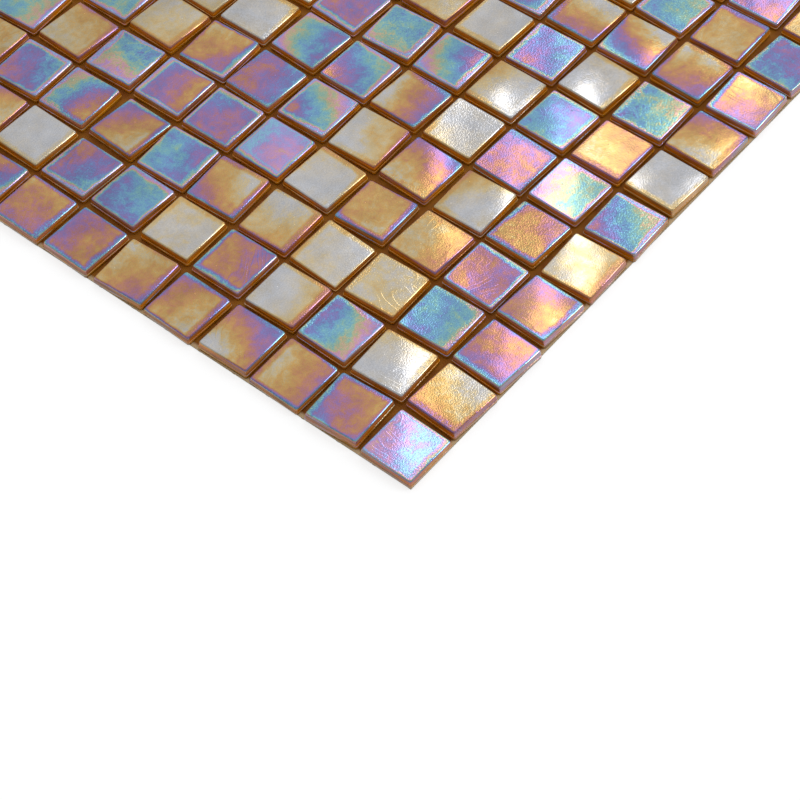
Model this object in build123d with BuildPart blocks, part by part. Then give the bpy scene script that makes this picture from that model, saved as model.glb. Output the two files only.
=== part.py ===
import math
import os
import random

from build123d import *

# A sheet of pressed glass mosaic: square chips laid by hand in a straight grid, face up, and
# stuck by their backs to a thin coat of glue, which an open net of glass-fibre strands carries.
# X and Y run along the two edges of the sheet, Z points out of the glass.
# The origin is at the middle of the sheet, on the underside of the net.

# Glass chip
CHIPS_PER_SIDE = 18
CHIP = 15.0  # width of a chip across its back
CHIP_THICKNESS = 2.8
DRAFT_DEG = 4.0  # the sides lean in towards the face, so that the chip leaves its mould
CORNER_CUT = 0.6  # the four upright corners are taken off by this much along each side
ARRIS = 0.45  # the edge round the face is taken off by this much

# Layout
JOINT = 1.47  # gap between the backs of two chips, where the grout goes
SHIFT_SHARE = 0.20  # a chip may sit off its place by up to this share of the joint, each way
TURN_SHARE = 0.28  # and be turned until its corners have moved by this share of the joint
LAYING_SEED = 10172769  # lays the first corner about as the photo shows it

# Backing
STRAND_PITCH = 10.0  # mesh of the net, stretched until a strand binds each edge of it
STRAND_WIDTH = 0.8
STRAND_THICKNESS = 0.15
GLUE_THICKNESS = 0.1  # the coat of glue, which closes the bottom of the joints

# Sizes that follow from those above
PITCH = CHIP + JOINT
SHEET = CHIPS_PER_SIDE * PITCH - JOINT
SHIFT = SHIFT_SHARE * JOINT
TURN_DEG = math.degrees(math.atan2(TURN_SHARE * JOINT, CHIP / 2))
MESHES = 2 * int((SHEET - STRAND_WIDTH) / (2 * STRAND_PITCH))
STRANDS = MESHES + 1  # an odd number, so that one strand lies on the middle line
STRAND_STEP = (SHEET - STRAND_WIDTH) / MESHES
NET_THICKNESS = 2 * STRAND_THICKNESS
BACKING_THICKNESS = NET_THICKNESS + GLUE_THICKNESS

os.makedirs("parts", exist_ok=True)

# One chip, standing on the glue: a square with its corners cut, drawn in by the draft,
# then the edge of the face eased.
with BuildPart() as chip:
    with BuildSketch(Plane.XY.offset(BACKING_THICKNESS)) as chip_back:
        Rectangle(CHIP, CHIP)
        chamfer(chip_back.vertices(), CORNER_CUT)
    extrude(amount=CHIP_THICKNESS, taper=DRAFT_DEG)
    face_edges = chip.faces().sort_by(Axis.Z)[-1].edges()
    chamfer(face_edges, ARRIS)

# Rows of chips. Each chip is a solid of its own with a joint all round it, and each one is
# laid a little off its place and a little turned, as a hand-filled tray leaves it.
laying = random.Random(LAYING_SEED)
first_place = -(CHIPS_PER_SIDE - 1) * PITCH / 2

for row in range(CHIPS_PER_SIDE):
    places = []
    for column in range(CHIPS_PER_SIDE):
        x = first_place + column * PITCH + laying.uniform(-SHIFT, SHIFT)
        y = first_place + row * PITCH + laying.uniform(-SHIFT, SHIFT)
        turn = laying.uniform(-TURN_DEG, TURN_DEG)
        places.append(Location((x, y, 0), (0, 0, turn)))
    row_name = f"chip_row_{row + 1:02d}"
    with BuildPart() as chip_row:
        with Locations(*places):
            add(chip.part)
    chip_row.part.label = row_name
    export_step(chip_row.part, f"parts/{row_name}.step")

# Lower strands of the net, along X. The sheet rests on these.
with BuildPart() as net_warp:
    with BuildSketch(Plane.XY):
        with GridLocations(0, STRAND_STEP, 1, STRANDS):
            Rectangle(SHEET, STRAND_WIDTH)
    extrude(amount=STRAND_THICKNESS)
net_warp.part.label = "net_warp"
export_step(net_warp.part, "parts/net_warp.step")

# Upper strands of the net, along Y. They lie across the lower ones and carry the glue.
with BuildPart() as net_weft:
    with BuildSketch(Plane.XY.offset(STRAND_THICKNESS)):
        with GridLocations(STRAND_STEP, 0, STRANDS, 1):
            Rectangle(STRAND_WIDTH, SHEET)
    extrude(amount=STRAND_THICKNESS)
net_weft.part.label = "net_weft"
export_step(net_weft.part, "parts/net_weft.step")

# Coat of glue over the net, cut flush with the sheet. The chips stand on it.
with BuildPart() as glue_coat:
    with BuildSketch(Plane.XY.offset(NET_THICKNESS)):
        Rectangle(SHEET, SHEET)
    extrude(amount=GLUE_THICKNESS)
glue_coat.part.label = "glue_coat"
export_step(glue_coat.part, "parts/glue_coat.step")
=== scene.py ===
# %% [markdown]
# # A sheet of iridescent glass mosaic
# The object is a flat sheet of small square glass chips, laid by hand in a straight grid and
# glued by their backs to a net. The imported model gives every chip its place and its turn. This
# script dresses it: a rainbow film on the faces, amber glass on the sides, tan glue at the bottom
# of the joints and twisted yarn behind. Everything is in metres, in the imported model's own frame.

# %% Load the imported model
import math
import random

import bpy
from mathutils import Matrix, Vector


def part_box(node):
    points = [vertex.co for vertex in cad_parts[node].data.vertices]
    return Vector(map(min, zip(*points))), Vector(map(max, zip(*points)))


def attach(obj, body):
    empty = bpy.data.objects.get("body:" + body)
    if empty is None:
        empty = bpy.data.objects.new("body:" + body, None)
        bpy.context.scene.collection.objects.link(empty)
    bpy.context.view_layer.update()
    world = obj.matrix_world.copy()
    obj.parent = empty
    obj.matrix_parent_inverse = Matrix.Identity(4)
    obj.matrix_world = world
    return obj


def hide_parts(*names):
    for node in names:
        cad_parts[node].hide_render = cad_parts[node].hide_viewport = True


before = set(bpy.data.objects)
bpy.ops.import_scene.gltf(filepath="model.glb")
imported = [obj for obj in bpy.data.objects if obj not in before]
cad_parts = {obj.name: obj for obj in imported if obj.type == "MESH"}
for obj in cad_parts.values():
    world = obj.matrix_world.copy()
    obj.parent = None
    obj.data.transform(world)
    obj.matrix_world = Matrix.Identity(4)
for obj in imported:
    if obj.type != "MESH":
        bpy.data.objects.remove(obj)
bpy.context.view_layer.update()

MM = 0.001

# %% [markdown]
# ## Two small helpers
# Colours are written as the hex values that a painter would pick on a screen, and one function
# turns them to the linear values that shaders work in. Node trees are long to write out by hand,
# so another function adds one node, with its settings, its values and its links.

# %% Helpers for colours and nodes
def linear(hex_colour):
    """A screen colour such as '#C8A050' as linear red, green, blue and alpha."""
    channels = [int(hex_colour[i:i + 2], 16) / 255 for i in (1, 3, 5)]
    return [c / 12.92 if c <= 0.04045 else ((c + 0.055) / 1.055) ** 2.4 for c in channels] + [1.0]


def add_node(tree, kind, sockets=None, **settings):
    """Adds a node. A socket gets a value, a link from an output, or from a node's first output."""
    made = tree.nodes.new(kind)
    for name, value in settings.items():
        setattr(made, name, value)
    for name, value in (sockets or {}).items():
        if isinstance(value, bpy.types.Node):
            value = value.outputs[0]
        if isinstance(value, bpy.types.NodeSocket):
            tree.links.new(value, made.inputs[name])
        else:
            made.inputs[name].default_value = value
    return made


print("a mid grey on the screen is", round(linear("#808080")[0], 3), "in linear light")

# %% [markdown]
# ## Where the chips lie
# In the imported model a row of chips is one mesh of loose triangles. Each chip stays inside its
# own square of the grid, so a vertex belongs to the square that it falls in. The middle of the
# corners of its back is the chip's place. Its turn comes from those same corners: taken to the
# fourth power as complex numbers, the corners of a square all point the same way.

# %% Read each chip's place and turn
PITCH = 16.47 * MM
CHIPS_PER_SIDE = 18
ON_BACK = 0.01 * MM  # a vertex this near to the lowest level is one of the back's
MICROMETRES = 6  # decimals of a metre, at which the corners of loose triangles meet
chip_rows = [f"chip_row_{n:02d}" for n in range(1, CHIPS_PER_SIDE + 1)]
chips = []

for row, name in enumerate(chip_rows):
    back_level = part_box(name)[0].z
    corners = [set() for _ in range(CHIPS_PER_SIDE)]
    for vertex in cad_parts[name].data.vertices:
        if vertex.co.z < back_level + ON_BACK:
            column = math.floor(vertex.co.x / PITCH + CHIPS_PER_SIDE / 2)
            corners[column].add((round(vertex.co.x, MICROMETRES), round(vertex.co.y, MICROMETRES)))
    for column, points in enumerate(corners):
        x = sum(p[0] for p in points) / len(points)
        y = sum(p[1] for p in points) / len(points)
        fourth = -sum(complex(p[0] - x, p[1] - y) ** 4 for p in points)
        turn = math.atan2(fourth.imag, fourth.real) / 4
        chips.append({"row": row, "column": column, "place": (x, y, back_level), "turn": turn})

turns = [math.degrees(chip["turn"]) for chip in chips]
print(f"{len(chips)} chips, turned by {min(turns):.2f} to {max(turns):.2f} degrees")

# %% [markdown]
# ## What makes each chip its own
# The film on a chip is a layer of metal oxide, thinner than a wavelength of light, laid down
# by fuming the hot glass. Its thickness decides the colour: silver when thinnest, then gold,
# copper, mauve, violet, blue, teal, green gold and pink. No two chips get the same, and on each
# one the film also runs off to one side and thickens towards some of the edges. So every chip
# gets a film thickness, a slope and a rim, drawn from a fixed seed. The pressed faces are not
# quite level, flat or smooth either, and so neighbours catch the light differently. Their lean
# and their marks come from a second seed.

# %% List the finishes
FINISHES = {
    # name: film thickness from and to, on a scale where blue is about 0.6, and how common it is
    "silver": (0.01, 0.08, 11),
    "pale gold": (0.10, 0.16, 7),
    "gold": (0.18, 0.25, 10),
    "copper": (0.28, 0.36, 9),
    "mauve": (0.40, 0.46, 9),
    "violet": (0.49, 0.55, 9),
    "blue": (0.58, 0.66, 11),
    "teal": (0.70, 0.77, 8),
    "green gold": (0.81, 0.89, 3),
    "pink": (1.08, 1.12, 2),
}
# The chips at the corner are the first that the eye meets, so these are chosen by name.
CORNER_FINISHES = {
    # row and column
    (0, 0): "pink", (1, 0): "copper", (2, 0): "gold", (3, 0): "copper",
    (0, 1): "gold", (1, 1): "silver", (2, 1): "teal", (3, 1): "silver",
    (0, 2): "mauve", (1, 2): "teal", (2, 2): "pale gold", (0, 3): "copper",
}
print(len(FINISHES), "finishes,", len(CORNER_FINISHES), "chips chosen by name")

# %% Give each chip its film
FILM_SEED = 4811265
LEAST_SLOPE = 0.008  # change of the film for each millimetre across a chip
MORE_SLOPE = 0.036
RIM_FILM = (0.04, 0.34)  # how much thicker the film is along the rim
RIM_SHIFT_MM = 0.9  # the rim is broader on one side by as much
film_chance = random.Random(FILM_SEED)
names = list(FINISHES)
finishes = film_chance.choices(names, [FINISHES[name][2] for name in names], k=len(chips))

for chip, finish in zip(chips, finishes):
    chip["finish"] = CORNER_FINISHES.get((chip["row"], chip["column"]), finish)
    thin, thick, _ = FINISHES[chip["finish"]]
    heading = film_chance.uniform(0, math.tau)
    steepness = LEAST_SLOPE + MORE_SLOPE * film_chance.random() ** 2
    aside = film_chance.uniform(0, math.tau)
    chip["film"] = film_chance.uniform(thin, thick)
    chip["slope"] = (steepness * math.cos(heading), steepness * math.sin(heading), 0)
    chip["rim"] = film_chance.uniform(*RIM_FILM)
    chip["rim_shift"] = (RIM_SHIFT_MM * math.cos(aside), RIM_SHIFT_MM * math.sin(aside), 0)

laid_finishes = [chip["finish"] for chip in chips]
print({name: laid_finishes.count(name) for name in names})

# %% Give each chip its lean and its surface
PRESS_SEED = 163522
LEAN = 0.020  # usual lean of a face, as a rise over a run
CROWN = (-0.0006, 0.0016)  # mm that a face rises at 1 mm off its middle, and the spread of it
LEAST_HAMMER = 0.42  # even the smoothest chip has this share of the dimples
FOLDS = (-0.6, 1.0)  # strength of the veins; a chip that draws less than nothing has none
GRAIN_MM = 99  # each chip shows its own part of the patterns, from up to this far away
press_chance = random.Random(PRESS_SEED)
for chip in chips:
    chip["lean"] = (press_chance.gauss(0, LEAN), press_chance.gauss(0, LEAN), 0)
for chip in chips:
    chip["crown"] = press_chance.gauss(*CROWN)
    chip["hammer"] = LEAST_HAMMER + (1 - LEAST_HAMMER) * press_chance.random() ** 3
    chip["grain"] = tuple(press_chance.uniform(-GRAIN_MM, GRAIN_MM) for _ in range(3))
for chip in chips:
    chip["folds"] = max(0.0, press_chance.uniform(*FOLDS))
print(sum(chip["folds"] > 0 for chip in chips), "chips have veins")

# %% Find the sides that face out of the sheet
# The sides that face out of the sheet lie in the open light, and get more film as painted light.
LAST = CHIPS_PER_SIDE - 1
X_LIT_SHARE = 0.60  # the outer sides that face along X show less film in the photograph
for chip in chips:
    out_x, out_y = [(n == LAST) - (n == 0) for n in (chip["column"], chip["row"])]
    chip["outward"] = (X_LIT_SHARE * out_x, out_y, 0)
print(sum(any(chip["outward"]) for chip in chips), "chips lie along the edge")

# %% [markdown]
# ## The chip itself
# Glass pressed in a mould of two halves is widest at the seam where they meet, and leans in a
# little above and below it, so that it comes out. The seam leaves a fine ledge. The face has a
# rounded edge and the upright corners are soft. Bevelling a cube would do, but here a tree of
# geometry nodes draws the back as a rounded square and lifts it in steps, each step wider or
# narrower than the one below, so that every size is an input with a name. The same tree then
# sets one chip on each point of the grid, leans its face, and makes it all real mesh.

# %% Start the tree with the outline of the back
CHIP_SIZES = {
    "Width": 15.0 * MM,
    "Height": 2.8 * MM,
    "Seam level": 1.0 * MM,
    "Seam ledge": 0.10 * MM,
    "Lower draft": 0.08 * MM,
    "Upper draft": 0.16 * MM,
    "Corner radius": 0.5 * MM,
    "Edge radius": 0.36 * MM,
}
laying = bpy.data.node_groups.new("lay_glass_chips", "GeometryNodeTree")
laying.interface.new_socket("Geometry", in_out="INPUT", socket_type="NodeSocketGeometry")
chip_inputs = {
    name: laying.interface.new_socket(name, in_out="INPUT", socket_type="NodeSocketFloat")
    for name in CHIP_SIZES
}
chip_inputs["Glass"] = laying.interface.new_socket(
    "Glass", in_out="INPUT", socket_type="NodeSocketMaterial"
)
laying.interface.new_socket("Geometry", in_out="OUTPUT", socket_type="NodeSocketGeometry")
given = add_node(laying, "NodeGroupInput").outputs

back_width = add_node(
    laying, "ShaderNodeMath", {0: given["Lower draft"], 1: -2.0, 2: given["Width"]},
    operation="MULTIPLY_ADD",
)
outline = add_node(
    laying, "GeometryNodeCurvePrimitiveQuadrilateral", {"Width": back_width, "Height": back_width}
)
rounded = add_node(
    laying, "GeometryNodeFilletCurve",
    {"Curve": outline, "Radius": given["Corner radius"], "Count": 2}, mode="POLY",
)
back = add_node(laying, "GeometryNodeFillCurve", {"Curve": rounded}, mode="NGONS")
print("inputs of the chip tree:", list(chip_inputs))

# %% List the steps of the side: how far up, and how far in
EDGE_STEPS = 2
LEDGE_SLOPE = 0.64  # rise of the seam's ledge over its width
FLAT_RING = 0.12  # the flat of the face starts this far inside its rounded edge, in edge radii
below_edge = add_node(
    laying, "ShaderNodeMath", {0: given["Height"], 1: given["Edge radius"]}, operation="SUBTRACT"
)
above_seam = add_node(
    laying, "ShaderNodeMath", {0: below_edge, 1: given["Seam level"]}, operation="SUBTRACT"
)
ledge_rise = add_node(
    laying, "ShaderNodeMath", {0: given["Seam ledge"], 1: LEDGE_SLOPE}, operation="MULTIPLY"
)
upper_rise = add_node(
    laying, "ShaderNodeMath", {0: above_seam, 1: ledge_rise}, operation="SUBTRACT"
)
steps = [
    # rise, inset, and how many times the inset; the lower half widens, so its times are negative
    (given["Seam level"], given["Lower draft"], -1.0),
    (ledge_rise, given["Seam ledge"], 1.0),
    (upper_rise, given["Upper draft"], 1.0),
]
for step in range(EDGE_STEPS):
    low = math.pi / 2 * step / EDGE_STEPS
    high = math.pi / 2 * (step + 1) / EDGE_STEPS
    rise = add_node(
        laying, "ShaderNodeMath", {0: given["Edge radius"], 1: math.sin(high) - math.sin(low)},
        operation="MULTIPLY",
    )
    steps.append((rise, given["Edge radius"], math.cos(low) - math.cos(high)))
steps.append((0.0, given["Edge radius"], FLAT_RING))
print(len(steps), "steps from the back to the flat of the face")

# %% Lift the back into a chip, step by step
MERGE_WITHIN = 0.005 * MM
body, top = back, True
for rise, inset, times in steps:
    lifted = add_node(
        laying, "GeometryNodeExtrudeMesh",
        {"Mesh": body, "Selection": top, "Offset": (0, 0, 1), "Offset Scale": rise}, mode="FACES",
    )
    share = add_node(
        laying, "ShaderNodeMath", {0: inset, 1: given["Width"]}, operation="DIVIDE"
    )
    size = add_node(
        laying, "ShaderNodeMath", {0: share, 1: -2 * times, 2: 1.0}, operation="MULTIPLY_ADD"
    )
    body = add_node(
        laying, "GeometryNodeScaleElements",
        {"Geometry": lifted, "Selection": lifted.outputs["Top"], "Scale": size}, domain="FACE",
    )
    top = lifted.outputs["Top"]

underside = add_node(laying, "GeometryNodeFlipFaces", {"Mesh": back})
joined = add_node(laying, "GeometryNodeJoinGeometry", {"Geometry": body})
laying.links.new(underside.outputs[0], joined.inputs["Geometry"])
closed = add_node(
    laying, "GeometryNodeMergeByDistance", {"Geometry": joined, "Distance": MERGE_WITHIN}
)
print("chip tree so far:", len(laying.nodes), "nodes")

# %% Keep the seam, the back and the upright corners crisp
SHARP_FROM = math.radians(50)
UPRIGHT_FROM = 0.5 * MM
angle = add_node(laying, "GeometryNodeInputMeshEdgeAngle")
ends = add_node(laying, "GeometryNodeInputMeshEdgeVertices")
along = add_node(
    laying, "ShaderNodeVectorMath",
    {0: ends.outputs["Position 2"], 1: ends.outputs["Position 1"]}, operation="SUBTRACT",
)
along_xyz = add_node(laying, "ShaderNodeSeparateXYZ", {0: along})
climb = add_node(laying, "ShaderNodeMath", {0: along_xyz.outputs["Z"]}, operation="ABSOLUTE")
upright = add_node(
    laying, "ShaderNodeMath", {0: climb, 1: UPRIGHT_FROM}, operation="GREATER_THAN"
)
folded = add_node(
    laying, "ShaderNodeMath", {0: angle.outputs["Unsigned Angle"], 1: SHARP_FROM},
    operation="GREATER_THAN",
)
sharp = add_node(laying, "ShaderNodeMath", {0: upright, 1: folded}, operation="MAXIMUM")
creased = add_node(
    laying, "GeometryNodeStoreNamedAttribute",
    {"Geometry": closed, "Name": "sharp_edge", "Value": sharp}, data_type="BOOLEAN", domain="EDGE",
)
print(f"edges that fold by more than {math.degrees(SHARP_FROM):.0f} degrees stay crisp")

# %% Lay the chip on every point
own_place = add_node(laying, "GeometryNodeInputPosition")
marked = add_node(
    laying, "GeometryNodeStoreNamedAttribute",
    {"Geometry": creased, "Name": "chip_place", "Value": own_place},
    data_type="FLOAT_VECTOR", domain="POINT",
)
turn = add_node(laying, "GeometryNodeInputNamedAttribute", {"Name": "turn"}, data_type="FLOAT")
about_z = add_node(laying, "ShaderNodeCombineXYZ", {"Z": turn})
laid = add_node(
    laying, "GeometryNodeInstanceOnPoints",
    {"Points": given["Geometry"], "Instance": marked, "Rotation": about_z},
)
real = add_node(laying, "GeometryNodeRealizeInstances", {"Geometry": laid})
print("chip tree so far:", len(laying.nodes), "nodes")

# %% Lean each face
# The highest corner of a leaning face keeps the full height, and the rest of it sinks below that,
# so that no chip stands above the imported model.
lean = add_node(
    laying, "GeometryNodeInputNamedAttribute", {"Name": "lean"}, data_type="FLOAT_VECTOR"
)
on_chip = add_node(
    laying, "GeometryNodeInputNamedAttribute", {"Name": "chip_place"}, data_type="FLOAT_VECTOR"
)
tip = add_node(laying, "ShaderNodeVectorMath", {0: lean, 1: on_chip}, operation="DOT_PRODUCT")
half_width = add_node(
    laying, "ShaderNodeMath", {0: given["Width"], 1: 2.0}, operation="DIVIDE"
)
corner = add_node(laying, "ShaderNodeCombineXYZ", {"X": half_width, "Y": half_width})
steep = add_node(laying, "ShaderNodeVectorMath", {0: lean}, operation="ABSOLUTE")
highest = add_node(
    laying, "ShaderNodeVectorMath", {0: steep, 1: corner}, operation="DOT_PRODUCT"
)
sink = add_node(
    laying, "ShaderNodeMath", {0: tip.outputs["Value"], 1: highest.outputs["Value"]},
    operation="SUBTRACT",
)
level = add_node(laying, "ShaderNodeSeparateXYZ", {0: on_chip})
share_up = add_node(
    laying, "ShaderNodeMath", {0: level.outputs["Z"], 1: given["Height"]}, operation="DIVIDE"
)
lift = add_node(laying, "ShaderNodeMath", {0: sink, 1: share_up}, operation="MULTIPLY")
upward = add_node(laying, "ShaderNodeCombineXYZ", {"Z": lift})
leaned = add_node(laying, "GeometryNodeSetPosition", {"Geometry": real, "Offset": upward})
smooth = add_node(laying, "GeometryNodeSetShadeSmooth", {"Geometry": leaned})
glazed = add_node(
    laying, "GeometryNodeSetMaterial", {"Geometry": smooth, "Material": given["Glass"]}
)
add_node(laying, "NodeGroupOutput", {"Geometry": glazed})
print("chip tree:", len(laying.nodes), "nodes")

# %% [markdown]
# ## Pressed amber glass with a rainbow film
# Such chips are amber glass all through, pressed in a mould and fumed with metal salts while still
# hot. The press leaves a shiny face with dimples, veins and seeds in it, and the fumes leave a
# film. To the eye a chip is a coloured mirror from above and plain amber from the side.
# Blender's own thin film would follow the viewing angle, but it is lost on export. So the film's
# colour is worked out from its thickness, with a ramp through the colours that such a film goes
# through as it grows. The thickness is a sum: the chip's own, its slope, soft clouds, a broad rim
# on some sides, a narrow rim all round, veins, flecks and a mottle in step with the dimples.

# %% Start the glass with places on the chip, in millimetres
glass = bpy.data.materials.new("iridescent_amber_glass")
glass.use_nodes = True
tree = glass.node_tree
tree.nodes.clear()

chip_place = add_node(tree, "ShaderNodeAttribute", attribute_name="chip_place")
place_mm = add_node(
    tree, "ShaderNodeVectorMath", {0: chip_place.outputs["Vector"], "Scale": 1 / MM},
    operation="SCALE",
)
level_mm = add_node(tree, "ShaderNodeSeparateXYZ", {0: place_mm})
depth = add_node(
    tree, "ShaderNodeMath", {0: CHIP_SIZES["Height"] / MM, 1: level_mm.outputs["Z"]},
    operation="SUBTRACT",
)
grain = add_node(tree, "ShaderNodeAttribute", attribute_name="grain")
own_grain = add_node(
    tree, "ShaderNodeVectorMath", {0: place_mm, 1: grain.outputs["Vector"]}, operation="ADD"
)
film = add_node(tree, "ShaderNodeAttribute", attribute_name="film")
hammer = add_node(tree, "ShaderNodeAttribute", attribute_name="hammer").outputs["Fac"]
print("glass so far:", len(tree.nodes), "nodes")

# %% Film that slopes and clouds over
CLOUD_MM = 12.0
CLOUD_FILM = 0.56  # from the thinnest to the thickest of the clouds
clouds = add_node(
    tree, "ShaderNodeTexNoise",
    {
        "Vector": own_grain,
        "Scale": 1 / CLOUD_MM,
        "Detail": 5.0,
        "Roughness": 0.66,
        "Distortion": 0.7,
    },
)
cloud_change = add_node(
    tree, "ShaderNodeMath", {0: clouds.outputs["Fac"], 1: CLOUD_FILM, 2: -CLOUD_FILM / 2},
    operation="MULTIPLY_ADD",
)
slope = add_node(tree, "ShaderNodeAttribute", attribute_name="slope")
across = add_node(
    tree, "ShaderNodeVectorMath", {0: place_mm, 1: slope.outputs["Vector"]},
    operation="DOT_PRODUCT",
)
print(f"clouds {CLOUD_MM:g} mm across")

# %% A broad rim, on the sides that it is shifted to
RIM_WOBBLE_MM = 1.6  # the clouds push the rim in and out by as much
RIM_FROM_MM = 6.7  # off the chip's middle, with the wobble counted in
RIM_TO_MM = 8.0
rim = add_node(tree, "ShaderNodeAttribute", attribute_name="rim")
rim_shift = add_node(tree, "ShaderNodeAttribute", attribute_name="rim_shift")
from_middle = add_node(
    tree, "ShaderNodeVectorMath", {0: place_mm, 1: rim_shift.outputs["Vector"]},
    operation="SUBTRACT",
)
off_middle = add_node(tree, "ShaderNodeVectorMath", {0: from_middle}, operation="ABSOLUTE")
off_xyz = add_node(tree, "ShaderNodeSeparateXYZ", {0: off_middle})
off_side = add_node(
    tree, "ShaderNodeMath", {0: off_xyz.outputs["X"], 1: off_xyz.outputs["Y"]},
    operation="MAXIMUM",
)
wobbled = add_node(
    tree, "ShaderNodeMath", {0: clouds.outputs["Fac"], 1: RIM_WOBBLE_MM, 2: off_side},
    operation="MULTIPLY_ADD",
)
near_rim = add_node(
    tree, "ShaderNodeMapRange",
    {"Value": wobbled, "From Min": RIM_FROM_MM, "From Max": RIM_TO_MM},
    interpolation_type="SMOOTHERSTEP",
)
rim_change = add_node(
    tree, "ShaderNodeMath", {0: near_rim, 1: rim.outputs["Fac"]}, operation="MULTIPLY"
)
print(f"broad rim, over {RIM_TO_MM - RIM_FROM_MM:.1f} mm")

# %% A narrow rim all round, which hardly shows in a thin film
EDGE_WOBBLE_MM = 2.0
EDGE_FROM_MM = 7.1
EDGE_TO_MM = 8.3
THIN_UNTIL = 0.45  # a film as thick as this, mauve, shows its rims in full
LEAST_RIM = 0.08  # share of them that bare silver shows
from_axis = add_node(tree, "ShaderNodeVectorMath", {0: place_mm}, operation="ABSOLUTE")
axis_xyz = add_node(tree, "ShaderNodeSeparateXYZ", {0: from_axis})
to_edge = add_node(
    tree, "ShaderNodeMath", {0: axis_xyz.outputs["X"], 1: axis_xyz.outputs["Y"]},
    operation="MAXIMUM",
)
ragged = add_node(
    tree, "ShaderNodeMath", {0: clouds.outputs["Fac"], 1: EDGE_WOBBLE_MM, 2: to_edge},
    operation="MULTIPLY_ADD",
)
at_edge = add_node(
    tree, "ShaderNodeMapRange",
    {"Value": ragged, "From Min": EDGE_FROM_MM, "From Max": EDGE_TO_MM},
    interpolation_type="SMOOTHSTEP",
)
thin_film = add_node(
    tree, "ShaderNodeMapRange",
    {"Value": film.outputs["Fac"], "From Max": THIN_UNTIL, "To Min": LEAST_RIM},
    interpolation_type="SMOOTHSTEP",
)
rim_at_edge = add_node(
    tree, "ShaderNodeMath", {0: at_edge, 1: rim.outputs["Fac"]}, operation="MULTIPLY"
)
narrow_rim = add_node(
    tree, "ShaderNodeMath", {0: rim_at_edge, 1: thin_film}, operation="MULTIPLY"
)
print(f"narrow rim, over {EDGE_TO_MM - EDGE_FROM_MM:.1f} mm")

# %% Veins where the hot glass folded
# Lines of equal height on a soft noise run side by side and bend together, as such folds do. The
# noise is drawn out one way, and each chip has its own direction.
VEIN_MM = 6.0
VEIN_LENGTH_MM = 20.0
VEINS_ACROSS = 10.0
VEIN_WIDTH = 0.16  # half the width of a line, as a share of the step from one to the next
VEIN_FILM = 0.10
grain_xyz = add_node(tree, "ShaderNodeSeparateXYZ", {0: grain.outputs["Vector"]})
combed = add_node(
    tree, "ShaderNodeVectorRotate", {"Vector": place_mm, "Angle": grain_xyz.outputs["X"]},
    rotation_type="Z_AXIS",
)
drawn_out = add_node(
    tree, "ShaderNodeVectorMath",
    {0: combed, 1: (1 / VEIN_LENGTH_MM, 1 / VEIN_MM, 1 / VEIN_MM), 2: grain.outputs["Vector"]},
    operation="MULTIPLY_ADD",
)
soft_hills = add_node(
    tree, "ShaderNodeTexNoise",
    {"Vector": drawn_out, "Scale": 1.0, "Detail": 2.0, "Roughness": 0.35},
)
terraces = add_node(
    tree, "ShaderNodeMath", {0: soft_hills.outputs["Fac"], 1: VEINS_ACROSS}, operation="MULTIPLY"
)
off_vein = add_node(tree, "ShaderNodeMath", {0: terraces, 1: 0.5}, operation="PINGPONG")
on_vein = add_node(
    tree, "ShaderNodeMapRange",
    {"Value": off_vein, "From Max": VEIN_WIDTH, "To Min": 1.0, "To Max": 0.0},
    interpolation_type="SMOOTHSTEP",
)
print(f"veins {VEIN_LENGTH_MM:g} mm long")

# %% Keep the veins to parts of some chips
STREAK_MM = 8.0
STREAK_RANGE = (0.48, 0.60)  # values of the noise at which veins start, and are whole
streaks = add_node(
    tree, "ShaderNodeTexNoise", {"Vector": own_grain, "Scale": 1 / STREAK_MM, "Detail": 1.0}
)
patch = add_node(
    tree, "ShaderNodeMapRange",
    {
        "Value": streaks.outputs["Fac"],
        "From Min": STREAK_RANGE[0],
        "From Max": STREAK_RANGE[1],
    },
)
vein_here = add_node(tree, "ShaderNodeMath", {0: on_vein, 1: patch}, operation="MULTIPLY")
folds = add_node(tree, "ShaderNodeAttribute", attribute_name="folds").outputs["Fac"]
veins = add_node(tree, "ShaderNodeMath", {0: vein_here, 1: folds}, operation="MULTIPLY")
vein_film = add_node(tree, "ShaderNodeMath", {0: veins, 1: VEIN_FILM}, operation="MULTIPLY")
vein_change = add_node(tree, "ShaderNodeMath", {0: vein_film, 1: thin_film}, operation="MULTIPLY")
print("glass so far:", len(tree.nodes), "nodes")

# %% Flecks, where the fumes met the glass unevenly
FLECK_MM = 1.7
FLECK_FILM = 0.24
flecks = add_node(
    tree, "ShaderNodeTexNoise",
    {"Vector": own_grain, "Scale": 1 / FLECK_MM, "Detail": 2.0, "Distortion": 0.6},
)
fleck_change = add_node(
    tree, "ShaderNodeMath", {0: flecks.outputs["Fac"], 1: FLECK_FILM, 2: -FLECK_FILM / 2},
    operation="MULTIPLY_ADD",
)
print(f"flecks {FLECK_MM:g} mm across")

# %% Dimples, more of them near the rim
PEEL_MM = 0.38  # the finest dimples of the pressed face, drawn a little coarse so that they show
DIMPLES_INSIDE = 0.7
MORE_AT_RIM = 1.4
MOTTLE_FILM = 0.32
peel = add_node(
    tree, "ShaderNodeTexNoise",
    {"Vector": own_grain, "Scale": 1 / PEEL_MM, "Detail": 1.0, "Roughness": 0.6},
)
dimple = add_node(
    tree, "ShaderNodeMath", {0: peel.outputs["Fac"], 1: 0.5}, operation="SUBTRACT"
)
more_at_rim = add_node(
    tree, "ShaderNodeMath", {0: near_rim, 1: MORE_AT_RIM, 2: DIMPLES_INSIDE},
    operation="MULTIPLY_ADD",
)
hammered = add_node(tree, "ShaderNodeMath", {0: more_at_rim, 1: hammer}, operation="MULTIPLY")
dimpled = add_node(tree, "ShaderNodeMath", {0: dimple, 1: hammered}, operation="MULTIPLY")
mottle_change = add_node(
    tree, "ShaderNodeMath", {0: dimpled, 1: MOTTLE_FILM}, operation="MULTIPLY"
)
print(f"dimples {PEEL_MM:g} mm across")

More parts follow.
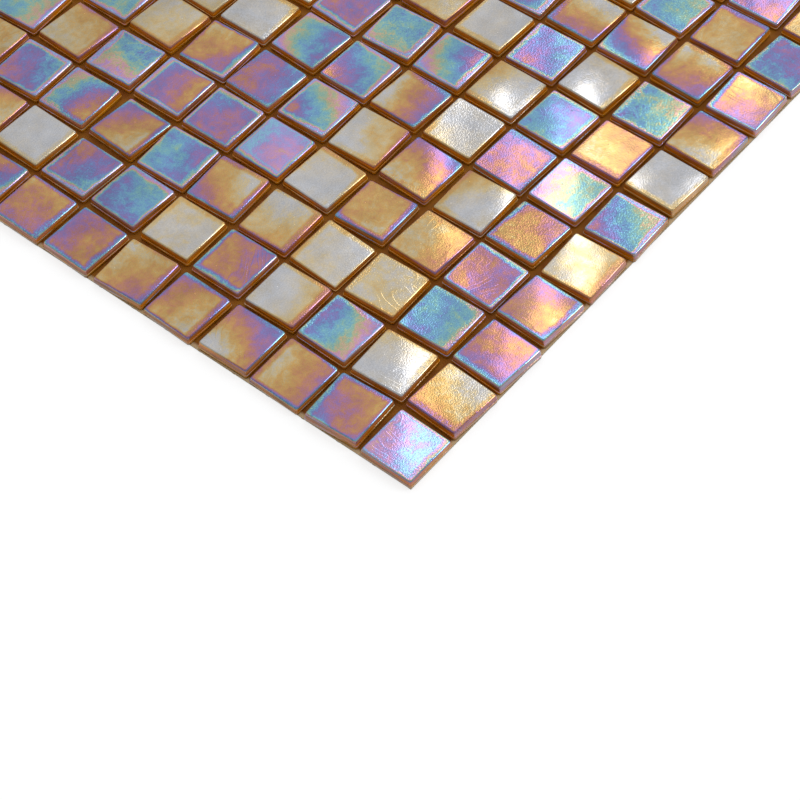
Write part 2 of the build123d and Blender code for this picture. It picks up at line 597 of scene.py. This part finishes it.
# %% Thicken the film where the face turns down into the side
EDGE_FILM = 0.34
FILM_PER_MM_DOWN = 0.12
LEVEL = 0.98  # how far the surface faces up, 1 for straight up, where the edge starts
TURNED_DOWN = 0.40  # and where the film has become as thick as it gets there
facing = add_node(tree, "ShaderNodeNewGeometry")
facing_xyz = add_node(tree, "ShaderNodeSeparateXYZ", {0: facing.outputs["Normal"]})
facing_up = facing_xyz.outputs["Z"]
edge_change = add_node(
    tree, "ShaderNodeMapRange",
    {"Value": facing_up, "From Min": LEVEL, "From Max": TURNED_DOWN, "To Max": EDGE_FILM},
)
side_change = add_node(
    tree, "ShaderNodeMath", {0: depth, 1: FILM_PER_MM_DOWN, 2: edge_change},
    operation="MULTIPLY_ADD",
)
print("glass so far:", len(tree.nodes), "nodes")

# %% Add it all up: a thin film changes less than a thick one
LEAST_CHANGE = 0.34  # share of the changes that bare silver takes
MOST_CHANGE = 1.10
FULL_CHANGE_FROM = 0.40  # thickness of film from which they count in full
FILM_RANGE = 1.2  # a film that grows past this runs back through the colours
change_share = add_node(
    tree, "ShaderNodeMapRange",
    {
        "Value": film.outputs["Fac"],
        "From Max": FULL_CHANGE_FROM,
        "To Min": LEAST_CHANGE,
        "To Max": MOST_CHANGE,
    },
)
changes = across.outputs["Value"]
for change in (cloud_change, rim_change, narrow_rim, vein_change, fleck_change, mottle_change):
    changes = add_node(tree, "ShaderNodeMath", {0: changes, 1: change})
on_face = add_node(
    tree, "ShaderNodeMath", {0: changes, 1: change_share, 2: film.outputs["Fac"]},
    operation="MULTIPLY_ADD",
)
thickness = add_node(
    tree, "ShaderNodeMath", {0: side_change, 1: thin_film, 2: on_face}, operation="MULTIPLY_ADD"
)
folded_back = add_node(
    tree, "ShaderNodeMath", {0: thickness, 1: FILM_RANGE}, operation="PINGPONG"
)
share_of_range = add_node(
    tree, "ShaderNodeMath", {0: folded_back, 1: FILM_RANGE}, operation="DIVIDE"
)
print("glass so far:", len(tree.nodes), "nodes")

# %% Turn the film's thickness into its colour
FILM_COLOURS = [
    (0.00, "#BDBDC0"), (0.08, "#C2BAAE"), (0.14, "#C9B488"), (0.22, "#C89F5A"),
    (0.31, "#BE865A"), (0.38, "#B27678"), (0.44, "#A2729C"), (0.51, "#8872AC"),
    (0.58, "#7480B8"), (0.65, "#6C9AC0"), (0.73, "#76ACB8"), (0.80, "#90B4A0"),
    (0.87, "#B8AE86"), (0.92, "#C8A294"), (0.97, "#C894AC"),
    (1.03, "#B890C2"), (1.09, "#A296CC"), (1.15, "#8EA8D2"), (1.20, "#8ABAD2"),
]
film_colour = add_node(tree, "ShaderNodeValToRGB", {"Fac": share_of_range})
stops = film_colour.color_ramp.elements
while len(stops) < len(FILM_COLOURS):
    stops.new(1.0)
for stop, (position, colour) in zip(stops, FILM_COLOURS):
    stop.position = position / FILM_RANGE
    stop.color = linear(colour)
print(len(FILM_COLOURS), "colours of the film")

# %% Let the film reflect a little more here, a little less there, with painted glints on the seeds
PATCH_MM = 5.0
SEED_MM = 3.2  # small bubbles in the glass, which makers call seeds, lie about this far apart
SEED_SIZE = 0.07  # as a share of that distance
NOISE_RANGE = (0.3, 0.7)  # a noise hardly leaves these values
SHEEN = (0.90, 1.06)
GRAIN_TONE = 0.26
DIMPLE_TONE = 0.35
# each seed is painted this much brighter than the film round it: a painted glint
SEED_GLINT = 0.6
patchy = add_node(
    tree, "ShaderNodeTexNoise",
    {"Vector": own_grain, "Scale": 1 / PATCH_MM, "Detail": 1.0},
)
sheen = add_node(
    tree, "ShaderNodeMapRange",
    {
        "Value": patchy.outputs["Fac"],
        "From Min": NOISE_RANGE[0],
        "From Max": NOISE_RANGE[1],
        "To Min": SHEEN[0],
        "To Max": SHEEN[1],
    },
)
grainy = add_node(
    tree, "ShaderNodeMath", {0: dimple, 1: GRAIN_TONE, 2: sheen}, operation="MULTIPLY_ADD"
)
speckled = add_node(
    tree, "ShaderNodeMath", {0: dimpled, 1: DIMPLE_TONE, 2: grainy}, operation="MULTIPLY_ADD"
)
seeds = add_node(tree, "ShaderNodeTexVoronoi", {"Vector": own_grain, "Scale": 1 / SEED_MM})
seed = add_node(
    tree, "ShaderNodeMapRange",
    {"Value": seeds.outputs["Distance"], "From Max": SEED_SIZE, "To Min": 1.0, "To Max": 0.0},
    interpolation_type="SMOOTHSTEP",
)
# Brighter at each seed: a painted glint.
speckled_with_seed_glints = add_node(
    tree, "ShaderNodeMath", {0: seed, 1: SEED_GLINT, 2: speckled}, operation="MULTIPLY_ADD"
)
film_tone = add_node(
    tree, "ShaderNodeHueSaturation", {"Color": film_colour, "Value": speckled_with_seed_glints}
)
print(f"seeds {SEED_MM:g} mm apart")

# %% [markdown]
# ## Film above, amber below
# The fumes come from above, so the film is whole on the face and round its edge. It lies in
# patches on the seam's ledge, which faces up a little, and only a breath of it reaches down the
# sides in the joints. The sides that face out of the sheet get much more of it, as painted light:
# they lie in the open light, while the same sides in the joints lie in shade.
# Two materials would need a sharp border between them. One material with a share of film that
# fades from the face to the side shows the amber where the film is thin, without any border.

# %% Spread the film over the chip
SIDE_FILM = 0.10  # share of film on the sides in the joints
SEAM_FILM = 0.75  # and at most on the ledge
FILM_FACING = (0.12, 0.60)  # how far a surface faces up where film starts, and where it is whole
SEAM_PATCHES = (0.42, 0.62)  # values of the noise at which the ledge's film starts, and is whole
EDGE_END_MM = (0.5, 0.9)  # depths between which the film of the edge gives way to the ledge's
SIDE_FADE_MM = (0.3, 1.3)  # depths between which the film on the side fades out
film_by_facing = add_node(
    tree, "ShaderNodeMapRange",
    {"Value": facing_up, "From Min": FILM_FACING[0], "From Max": FILM_FACING[1]},
)
on_seam = add_node(
    tree, "ShaderNodeMapRange",
    {
        "Value": patchy.outputs["Fac"],
        "From Min": SEAM_PATCHES[0],
        "From Max": SEAM_PATCHES[1],
        "To Max": SEAM_FILM,
    },
)
above_side = add_node(
    tree, "ShaderNodeMapRange",
    {
        "Value": depth,
        "From Min": EDGE_END_MM[0],
        "From Max": EDGE_END_MM[1],
        "To Min": 1.0,
        "To Max": on_seam,
    },
)
film_on_edge = add_node(
    tree, "ShaderNodeMath", {0: film_by_facing, 1: above_side}, operation="MULTIPLY"
)
film_on_side = add_node(
    tree, "ShaderNodeMapRange",
    {
        "Value": depth,
        "From Min": SIDE_FADE_MM[0],
        "From Max": SIDE_FADE_MM[1],
        "To Min": SIDE_FILM,
        "To Max": 0.0,
    },
)
film_inside = add_node(
    tree, "ShaderNodeMath", {0: film_on_edge, 1: film_on_side}, operation="MAXIMUM"
)
print("glass so far:", len(tree.nodes), "nodes")

# %% Add film on the sides that face out of the sheet: painted light, since they lie in the open and the sides in the joints lie in shade
OUTER_LIT_FILM = 0.54
OUT_FACING = (0.5, 0.9)  # how far a side faces out where this film starts, and where it is whole
LOWER_SIDE_MM = (1.4, 2.2)  # depths between which it thins
LOW_DOWN = 0.25  # and the share of it that is left below them
outward = add_node(tree, "ShaderNodeAttribute", attribute_name="outward")
facing_out = add_node(
    tree, "ShaderNodeVectorMath", {0: outward.outputs["Vector"], 1: facing.outputs["Normal"]},
    operation="DOT_PRODUCT",
)
lit_outer_side = add_node(
    tree, "ShaderNodeMapRange",
    {
        "Value": facing_out.outputs["Value"],
        "From Min": OUT_FACING[0],
        "From Max": OUT_FACING[1],
        "To Max": OUTER_LIT_FILM,
    },
)
upper_side = add_node(
    tree, "ShaderNodeMapRange",
    {
        "Value": depth,
        "From Min": LOWER_SIDE_MM[0],
        "From Max": LOWER_SIDE_MM[1],
        "To Min": 1.0,
        "To Max": LOW_DOWN,
    },
)
lit_film_outside = add_node(
    tree, "ShaderNodeMath", {0: lit_outer_side, 1: upper_side}, operation="MULTIPLY"
)
film_share = add_node(
    tree, "ShaderNodeMath", {0: film_inside, 1: lit_film_outside}, operation="MAXIMUM"
)
print("glass so far:", len(tree.nodes), "nodes")

# %% Amber glass with a painted glow and painted shade, and fine lighter and darker lines along the side
AMBER_GLOW_AND_SHADE_BY_DEPTH = [
    # share of the way down: lighter below the seam, a painted glow of light through the glass, and
    # dark where it meets the glue, painted shade
    (0.0, "#C47404"), (0.55, "#BC6C02"), (0.68, "#CE8E0C"), (0.90, "#C08008"), (0.98, "#563208"),
]
LINE_MM = 0.5
LINE_LENGTH_MM = 9.0
LINE_TONES = (0.45, 1.50)
way_down = add_node(
    tree, "ShaderNodeMath", {0: depth, 1: CHIP_SIZES["Height"] / MM}, operation="DIVIDE"
)
# The amber is painted lighter below the seam, as a glow, and dark at the foot, as shade.
amber = add_node(tree, "ShaderNodeValToRGB", {"Fac": way_down})
stops = amber.color_ramp.elements
while len(stops) < len(AMBER_GLOW_AND_SHADE_BY_DEPTH):
    stops.new(1.0)
for stop, (position, colour) in zip(stops, AMBER_GLOW_AND_SHADE_BY_DEPTH):
    stop.position = position
    stop.color = linear(colour)
line_place = add_node(
    tree, "ShaderNodeVectorMath",
    {0: own_grain, 1: (1 / LINE_LENGTH_MM, 1 / LINE_LENGTH_MM, 1 / LINE_MM)}, operation="MULTIPLY",
)
# Fine lighter and darker lines along the side.
side_streaks = add_node(
    tree, "ShaderNodeTexNoise", {"Vector": line_place, "Scale": 1.0, "Detail": 2.0}
)
line_tone = add_node(
    tree, "ShaderNodeMapRange",
    {
        "Value": side_streaks.outputs["Fac"],
        "From Min": NOISE_RANGE[0],
        "From Max": NOISE_RANGE[1],
        "To Min": LINE_TONES[0],
        "To Max": LINE_TONES[1],
    },
)
amber_glow_shade_and_streaks = add_node(tree, "ShaderNodeHueSaturation", {"Color": amber, "Value": line_tone})
print(len(AMBER_GLOW_AND_SHADE_BY_DEPTH), "ambers from the face down to the glue")

# %% Raise the relief that the press leaves
WAVE_MM = 8.0
RELIEF_MM = {"waves": 0.06, "dimples": 0.023, "veins": 0.008, "seeds": 0.05}
waves = add_node(
    tree, "ShaderNodeTexNoise", {"Vector": own_grain, "Scale": 1 / WAVE_MM, "Detail": 1.0}
)
crown = add_node(tree, "ShaderNodeAttribute", attribute_name="crown")
radius_squared = add_node(
    tree, "ShaderNodeVectorMath", {0: place_mm, 1: place_mm}, operation="DOT_PRODUCT"
)
height = add_node(
    tree, "ShaderNodeMath", {0: radius_squared.outputs["Value"], 1: crown.outputs["Fac"]},
    operation="MULTIPLY",
)
reliefs = {"waves": waves.outputs["Fac"], "dimples": dimpled, "veins": veins, "seeds": seed}
for name, relief in reliefs.items():
    height = add_node(
        tree, "ShaderNodeMath", {0: relief, 1: RELIEF_MM[name], 2: height},
        operation="MULTIPLY_ADD",
    )
bump = add_node(tree, "ShaderNodeBump", {"Height": height, "Distance": 1 * MM, "Strength": 1.0})
print("relief, in mm:", RELIEF_MM)

# %% Bring film, amber and relief together
FILM_MIRROR = 0.92  # a whole film reflects almost as metal does
FILM_GLOSS = 0.6  # and has a clear gloss over it
surface = add_node(
    tree, "ShaderNodeMix",
    {"Factor": film_share, "A": amber_glow_shade_and_streaks.outputs["Color"], "B": film_tone}, data_type="RGBA",
)
mirror = add_node(tree, "ShaderNodeMath", {0: film_share, 1: FILM_MIRROR}, operation="MULTIPLY")
gloss = add_node(tree, "ShaderNodeMath", {0: film_share, 1: FILM_GLOSS}, operation="MULTIPLY")
shader = add_node(
    tree, "ShaderNodeBsdfPrincipled",
    {
        "Base Color": surface.outputs["Result"],
        "Metallic": mirror,
        "Roughness": 0.08,
        "IOR": 1.52,
        "Coat Weight": gloss,
        "Coat Roughness": 0.05,
        "Normal": bump,
    },
)
add_node(tree, "ShaderNodeOutputMaterial", {"Surface": shader})
print("glass:", len(tree.nodes), "nodes")

# %% [markdown]
# ## Laying the sheet
# A mesh of bare points, one for each chip, carries what belongs to that chip as attributes. The
# tree copies them on to every vertex of the chip, where the glass can read them. The result is
# then kept as plain mesh, because an exported model has no trees.

# %% Make the points and what they carry
points = bpy.data.meshes.new("glass_chips")
points.from_pydata([chip["place"] for chip in chips], [], [])
for name in ("turn", "film", "rim", "crown", "hammer", "folds"):
    layer = points.attributes.new(name, "FLOAT", "POINT")
    layer.data.foreach_set("value", [chip[name] for chip in chips])
for name in ("slope", "rim_shift", "lean", "grain", "outward"):
    layer = points.attributes.new(name, "FLOAT_VECTOR", "POINT")
    layer.data.foreach_set("vector", [v for chip in chips for v in chip[name]])
print("points:", len(points.vertices))

# %% Lay the chips and keep them as plain mesh
glass_chips = bpy.data.objects.new("glass_chips", points)
bpy.context.scene.collection.objects.link(glass_chips)
modifier = glass_chips.modifiers.new("lay", "NODES")
modifier.node_group = laying
for name, size in CHIP_SIZES.items():
    modifier[chip_inputs[name].identifier] = size
modifier[chip_inputs["Glass"].identifier] = glass

depsgraph = bpy.context.evaluated_depsgraph_get()
laid_mesh = bpy.data.meshes.new_from_object(
    glass_chips.evaluated_get(depsgraph), preserve_all_data_layers=True, depsgraph=depsgraph
)
glass_chips.modifiers.clear()
glass_chips.data = laid_mesh
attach(glass_chips, "root")
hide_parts(*chip_rows)
print("chips:", len(laid_mesh.polygons), "faces,", len(laid_mesh.polygons) // len(chips), "a chip")

# %% [markdown]
# ## Glue and net
# The coat of glue and the strands of the net already have the right shape in the imported model, so
# they stay and only get their finish. The glue is spread over the net and dries to a dull, uneven
# tan skin. It is dark warm brown at the bottom of every joint and pale tan along the edge of the
# sheet: the same glue, with painted shade in the joints and painted light at the edge. The strands
# are glass-fibre yarn, twisted and stiffened with a pale size, and to the eye they are dull
# off-white cords with slanting ridges.

# %% Start the dried tan glue with its patches
GLUE_PATCH_MM = 4.0
glue = bpy.data.materials.new("dried_tan_glue")
glue.use_nodes = True
tree = glue.node_tree
tree.nodes.clear()
on_sheet = add_node(tree, "ShaderNodeTexCoord").outputs["Object"]
patches = add_node(
    tree, "ShaderNodeTexNoise",
    {"Vector": on_sheet, "Scale": 1 / (GLUE_PATCH_MM * MM), "Detail": 3.0},
)
glue_colour = add_node(tree, "ShaderNodeValToRGB", {"Fac": patches.outputs["Fac"]})
# These browns carry part of the shade of the deep joints as painted shade; the patches between them
# are the glue's own uneven tone.
dark_glue, light_glue = glue_colour.color_ramp.elements
dark_glue.position = NOISE_RANGE[0]
dark_glue.color = linear("#844806")
light_glue.position = NOISE_RANGE[1]
light_glue.color = linear("#A06610")
glue_bump = add_node(
    tree, "ShaderNodeBump", {"Height": patches.outputs["Fac"], "Distance": 0.05 * MM}
)
print(f"patches in the glue {GLUE_PATCH_MM:g} mm across")

# %% Paint the glue pale at the edge of the sheet, where it lies in the open light
GLUE_LIT_RIM_MM = 1.4  # over this width the glue is painted paler and paler, as painted light where it lies in the open
PALEST_FROM = 0.5  # and over this share of it, right at the edge, as much as it ever does
edge_of_sheet = max(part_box("glue_coat")[1])
from_centre = add_node(tree, "ShaderNodeVectorMath", {0: on_sheet}, operation="ABSOLUTE")
centre_xyz = add_node(tree, "ShaderNodeSeparateXYZ", {0: from_centre})
furthest = add_node(
    tree, "ShaderNodeMath", {0: centre_xyz.outputs["X"], 1: centre_xyz.outputs["Y"]},
    operation="MAXIMUM",
)
pale_lit_rim = add_node(
    tree, "ShaderNodeMapRange",
    {
        "Value": furthest,
        "From Min": edge_of_sheet - GLUE_LIT_RIM_MM * MM,
        "From Max": edge_of_sheet - PALEST_FROM * GLUE_LIT_RIM_MM * MM,
    },
)
# Pale tan at the edge of the sheet: painted light.
glue_shade_and_lit_rim = add_node(
    tree, "ShaderNodeMix", {"Factor": pale_lit_rim, "A": glue_colour, "B": linear("#D2B68C")},
    data_type="RGBA",
)
shader = add_node(
    tree, "ShaderNodeBsdfPrincipled",
    {
        "Base Color": glue_shade_and_lit_rim.outputs["Result"],
        "Roughness": 0.6,
        "IOR": 1.48,
        "Specular IOR Level": 0.25,
        "Normal": glue_bump,
    },
)
add_node(tree, "ShaderNodeOutputMaterial", {"Surface": shader})
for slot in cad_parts["glue_coat"].material_slots:
    slot.material = glue
print("glue:", len(tree.nodes), "nodes")

# %% Twisted glass yarn
TWIST_MM = 0.5
BANDS = math.tau / 20  # a wave texture repeats over this length at a scale of 1
yarn = bpy.data.materials.new("twisted_glass_yarn")
yarn.use_nodes = True
tree = yarn.node_tree
tree.nodes.clear()
twist = add_node(
    tree, "ShaderNodeTexWave",
    {
        "Vector": add_node(tree, "ShaderNodeTexCoord").outputs["Object"],
        "Scale": BANDS / (TWIST_MM * MM),
        "Distortion": 0.6,
        "Detail": 1.0,
    },
    wave_type="BANDS", bands_direction="DIAGONAL",
)
# The yarn is painted darker in the hollows of its twist: painted shade.
yarn_colour_and_shade = add_node(tree, "ShaderNodeValToRGB", {"Fac": twist.outputs["Fac"]})
shaded_hollow, ridge = yarn_colour_and_shade.color_ramp.elements
shaded_hollow.color = linear("#A89C84")
ridge.color = linear("#DAD4C4")
yarn_bump = add_node(
    tree, "ShaderNodeBump", {"Height": twist.outputs["Fac"], "Distance": 0.08 * MM}
)
shader = add_node(
    tree, "ShaderNodeBsdfPrincipled",
    {"Base Color": yarn_colour_and_shade, "Roughness": 0.6, "IOR": 1.5, "Normal": yarn_bump},
)
add_node(tree, "ShaderNodeOutputMaterial", {"Surface": shader})
for name in ("net_warp", "net_weft"):
    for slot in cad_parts[name].material_slots:
        slot.material = yarn
print("yarn:", len(tree.nodes), "nodes")

# %% [markdown]
# ## Light, floor and camera
# The photograph was taken on white, from about 53 degrees up, with a long lens. The sheet lies on
# matt white paper, which looks white to the camera and in the film, and still takes the sheet's
# shadow. A coloured mirror shows the room, so the room is part of the finish: pale all round,
# brightest high up behind the sheet, and dimmer on the camera's side. Strips of soft light behind
# and to the right are what the brightest chips mirror, and a window at the right draws the bright
# lines along the edges that face it.

# %% Floor of white paper
FLOOR_REACH = 4.0
PAPER_GLOW = 0.72  # with the light that falls on it, the paper comes out white
floor_corners = [(-1, -1), (1, -1), (1, 1), (-1, 1)]
floor_mesh = bpy.data.meshes.new("floor")
floor_mesh.from_pydata(
    [(x * FLOOR_REACH, y * FLOOR_REACH, 0) for x, y in floor_corners], [], [(0, 1, 2, 3)]
)
floor = bpy.data.objects.new("floor", floor_mesh)
bpy.context.scene.collection.objects.link(floor)

paper = bpy.data.materials.new("white_paper")
paper.use_nodes = True
tree = paper.node_tree
tree.nodes.clear()
path = add_node(tree, "ShaderNodeLightPath").outputs
seen_or_mirrored = add_node(
    tree, "ShaderNodeMath", {0: path["Is Camera Ray"], 1: path["Is Glossy Ray"]},
    operation="MAXIMUM",
)
seen = add_node(
    tree, "ShaderNodeMath", {0: seen_or_mirrored, 1: path["Is Transmission Ray"]},
    operation="MAXIMUM",
)
# Where the paper is seen or mirrored it also glows. Soft bounced light meets plain grey paper.
plain = add_node(tree, "ShaderNodeBsdfDiffuse", {"Color": linear("#A09E9A")})
shaded = add_node(tree, "ShaderNodeBsdfDiffuse", {"Color": linear("#A9A8A6")})
glow = add_node(tree, "ShaderNodeEmission", {"Color": (1, 1, 1, 1), "Strength": PAPER_GLOW})
lit = add_node(tree, "ShaderNodeAddShader", {0: shaded, 1: glow})
mixed = add_node(tree, "ShaderNodeMixShader", {0: seen, 1: plain, 2: lit})
add_node(tree, "ShaderNodeOutputMaterial", {"Surface": mixed})
floor_mesh.materials.append(paper)
print("floor:", 2 * FLOOR_REACH, "m wide")

# %% Room
BRIGHT_WAY = Vector((0.55, 0.15, 0.82)).normalized()
BRIGHT_FROM = 0.82  # cosine of the angle off that way at which the room starts to brighten
ROOM_LEVEL = 0.70
ROOM_BRIGHTEST = 1.10
DIM_SIDE = (-0.3, 0.5)  # cosines of the angle off that way between which the dim side ends
CAMERA_SIDE = 0.62  # how bright that side is, the camera's, as a share of the rest
world = bpy.data.worlds.new("studio")
bpy.context.scene.world = world
world.use_nodes = True
tree = world.node_tree
tree.nodes.clear()
path = add_node(tree, "ShaderNodeLightPath").outputs
white = add_node(tree, "ShaderNodeBackground", {"Color": (1, 1, 1, 1), "Strength": 1.0})
direction = add_node(tree, "ShaderNodeTexCoord").outputs["Generated"]
towards = add_node(
    tree, "ShaderNodeVectorMath", {0: direction, 1: BRIGHT_WAY}, operation="DOT_PRODUCT"
)
overhead = add_node(
    tree, "ShaderNodeMapRange",
    {
        "Value": towards.outputs["Value"],
        "From Min": BRIGHT_FROM,
        "From Max": 1.0,
        "To Min": ROOM_LEVEL,
        "To Max": ROOM_BRIGHTEST,
    },
    interpolation_type="SMOOTHSTEP",
)
near_side = add_node(
    tree, "ShaderNodeMapRange",
    {
        "Value": towards.outputs["Value"],
        "From Min": DIM_SIDE[0],
        "From Max": DIM_SIDE[1],
        "To Min": CAMERA_SIDE,
    },
)
strength = add_node(tree, "ShaderNodeMath", {0: overhead, 1: near_side}, operation="MULTIPLY")
room = add_node(
    tree, "ShaderNodeBackground", {"Color": linear("#F1F3F6"), "Strength": strength}
)
mixed = add_node(tree, "ShaderNodeMixShader", {0: path["Is Camera Ray"], 1: room, 2: white})
add_node(tree, "ShaderNodeOutputWorld", {"Surface": mixed})
print("room:", len(tree.nodes), "nodes")

# %% Lamps
LAMP_AIM = Vector((-0.09, -0.09, 0.0032))  # on the faces, near the corner in the photograph
LAMP_DISTANCE = 1.6


def soft_lamp(name, azimuth, elevation, width, height, radiance, colour):
    """A lamp that faces that spot on the sheet, as bright as its radiance says."""
    lamp = bpy.data.lights.new(name, "AREA")
    lamp.shape = "RECTANGLE"
    lamp.size = width
    lamp.size_y = height
    lamp.energy = radiance * math.pi * width * height
    lamp.color = linear(colour)[:3]
    holder = bpy.data.objects.new(name, lamp)
    bpy.context.scene.collection.objects.link(holder)
    a, e = math.radians(azimuth), math.radians(elevation)
    away = Vector((math.cos(a) * math.cos(e), math.sin(a) * math.cos(e), math.sin(e)))
    holder.location = LAMP_AIM + away * LAMP_DISTANCE
    holder.rotation_euler = away.to_track_quat("Z", "Y").to_euler()
    print(f"{name}: {lamp.energy:.2f} W")


for name, azimuth in (("strip_near", 12), ("strip_middle", 24), ("strip_far", 36)):
    soft_lamp(
        name, azimuth, elevation=54, width=0.084, height=0.55, radiance=1.9, colour="#FFFFFF"
    )
soft_lamp(
    "window_right", -50, elevation=27, width=0.5, height=1.2, radiance=4.5, colour="#EEF4FF"
)

# %% Camera
CAMERA_PLACE = Vector((-0.40861, -0.38332, 0.50147))
CAMERA_AIM = Vector((-0.13149, -0.13132, 0.0032))
CAMERA_ROLL = math.radians(-3.54)
camera_data = bpy.data.cameras.new("camera")
camera_data.lens = 123.86
camera_data.sensor_width = 36.0
camera_data.clip_start = 0.01
camera = bpy.data.objects.new("camera", camera_data)
bpy.context.scene.collection.objects.link(camera)
look = (CAMERA_AIM - CAMERA_PLACE).to_track_quat("-Z", "Y").to_matrix().to_4x4()
rolled = Matrix.Rotation(CAMERA_ROLL, 4, "Z")
camera.matrix_world = Matrix.Translation(CAMERA_PLACE) @ look @ rolled
bpy.context.scene.camera = camera
bpy.context.scene.view_settings.view_transform = "Standard"
print(f"camera: {(CAMERA_AIM - CAMERA_PLACE).length:.2f} m from the sheet")
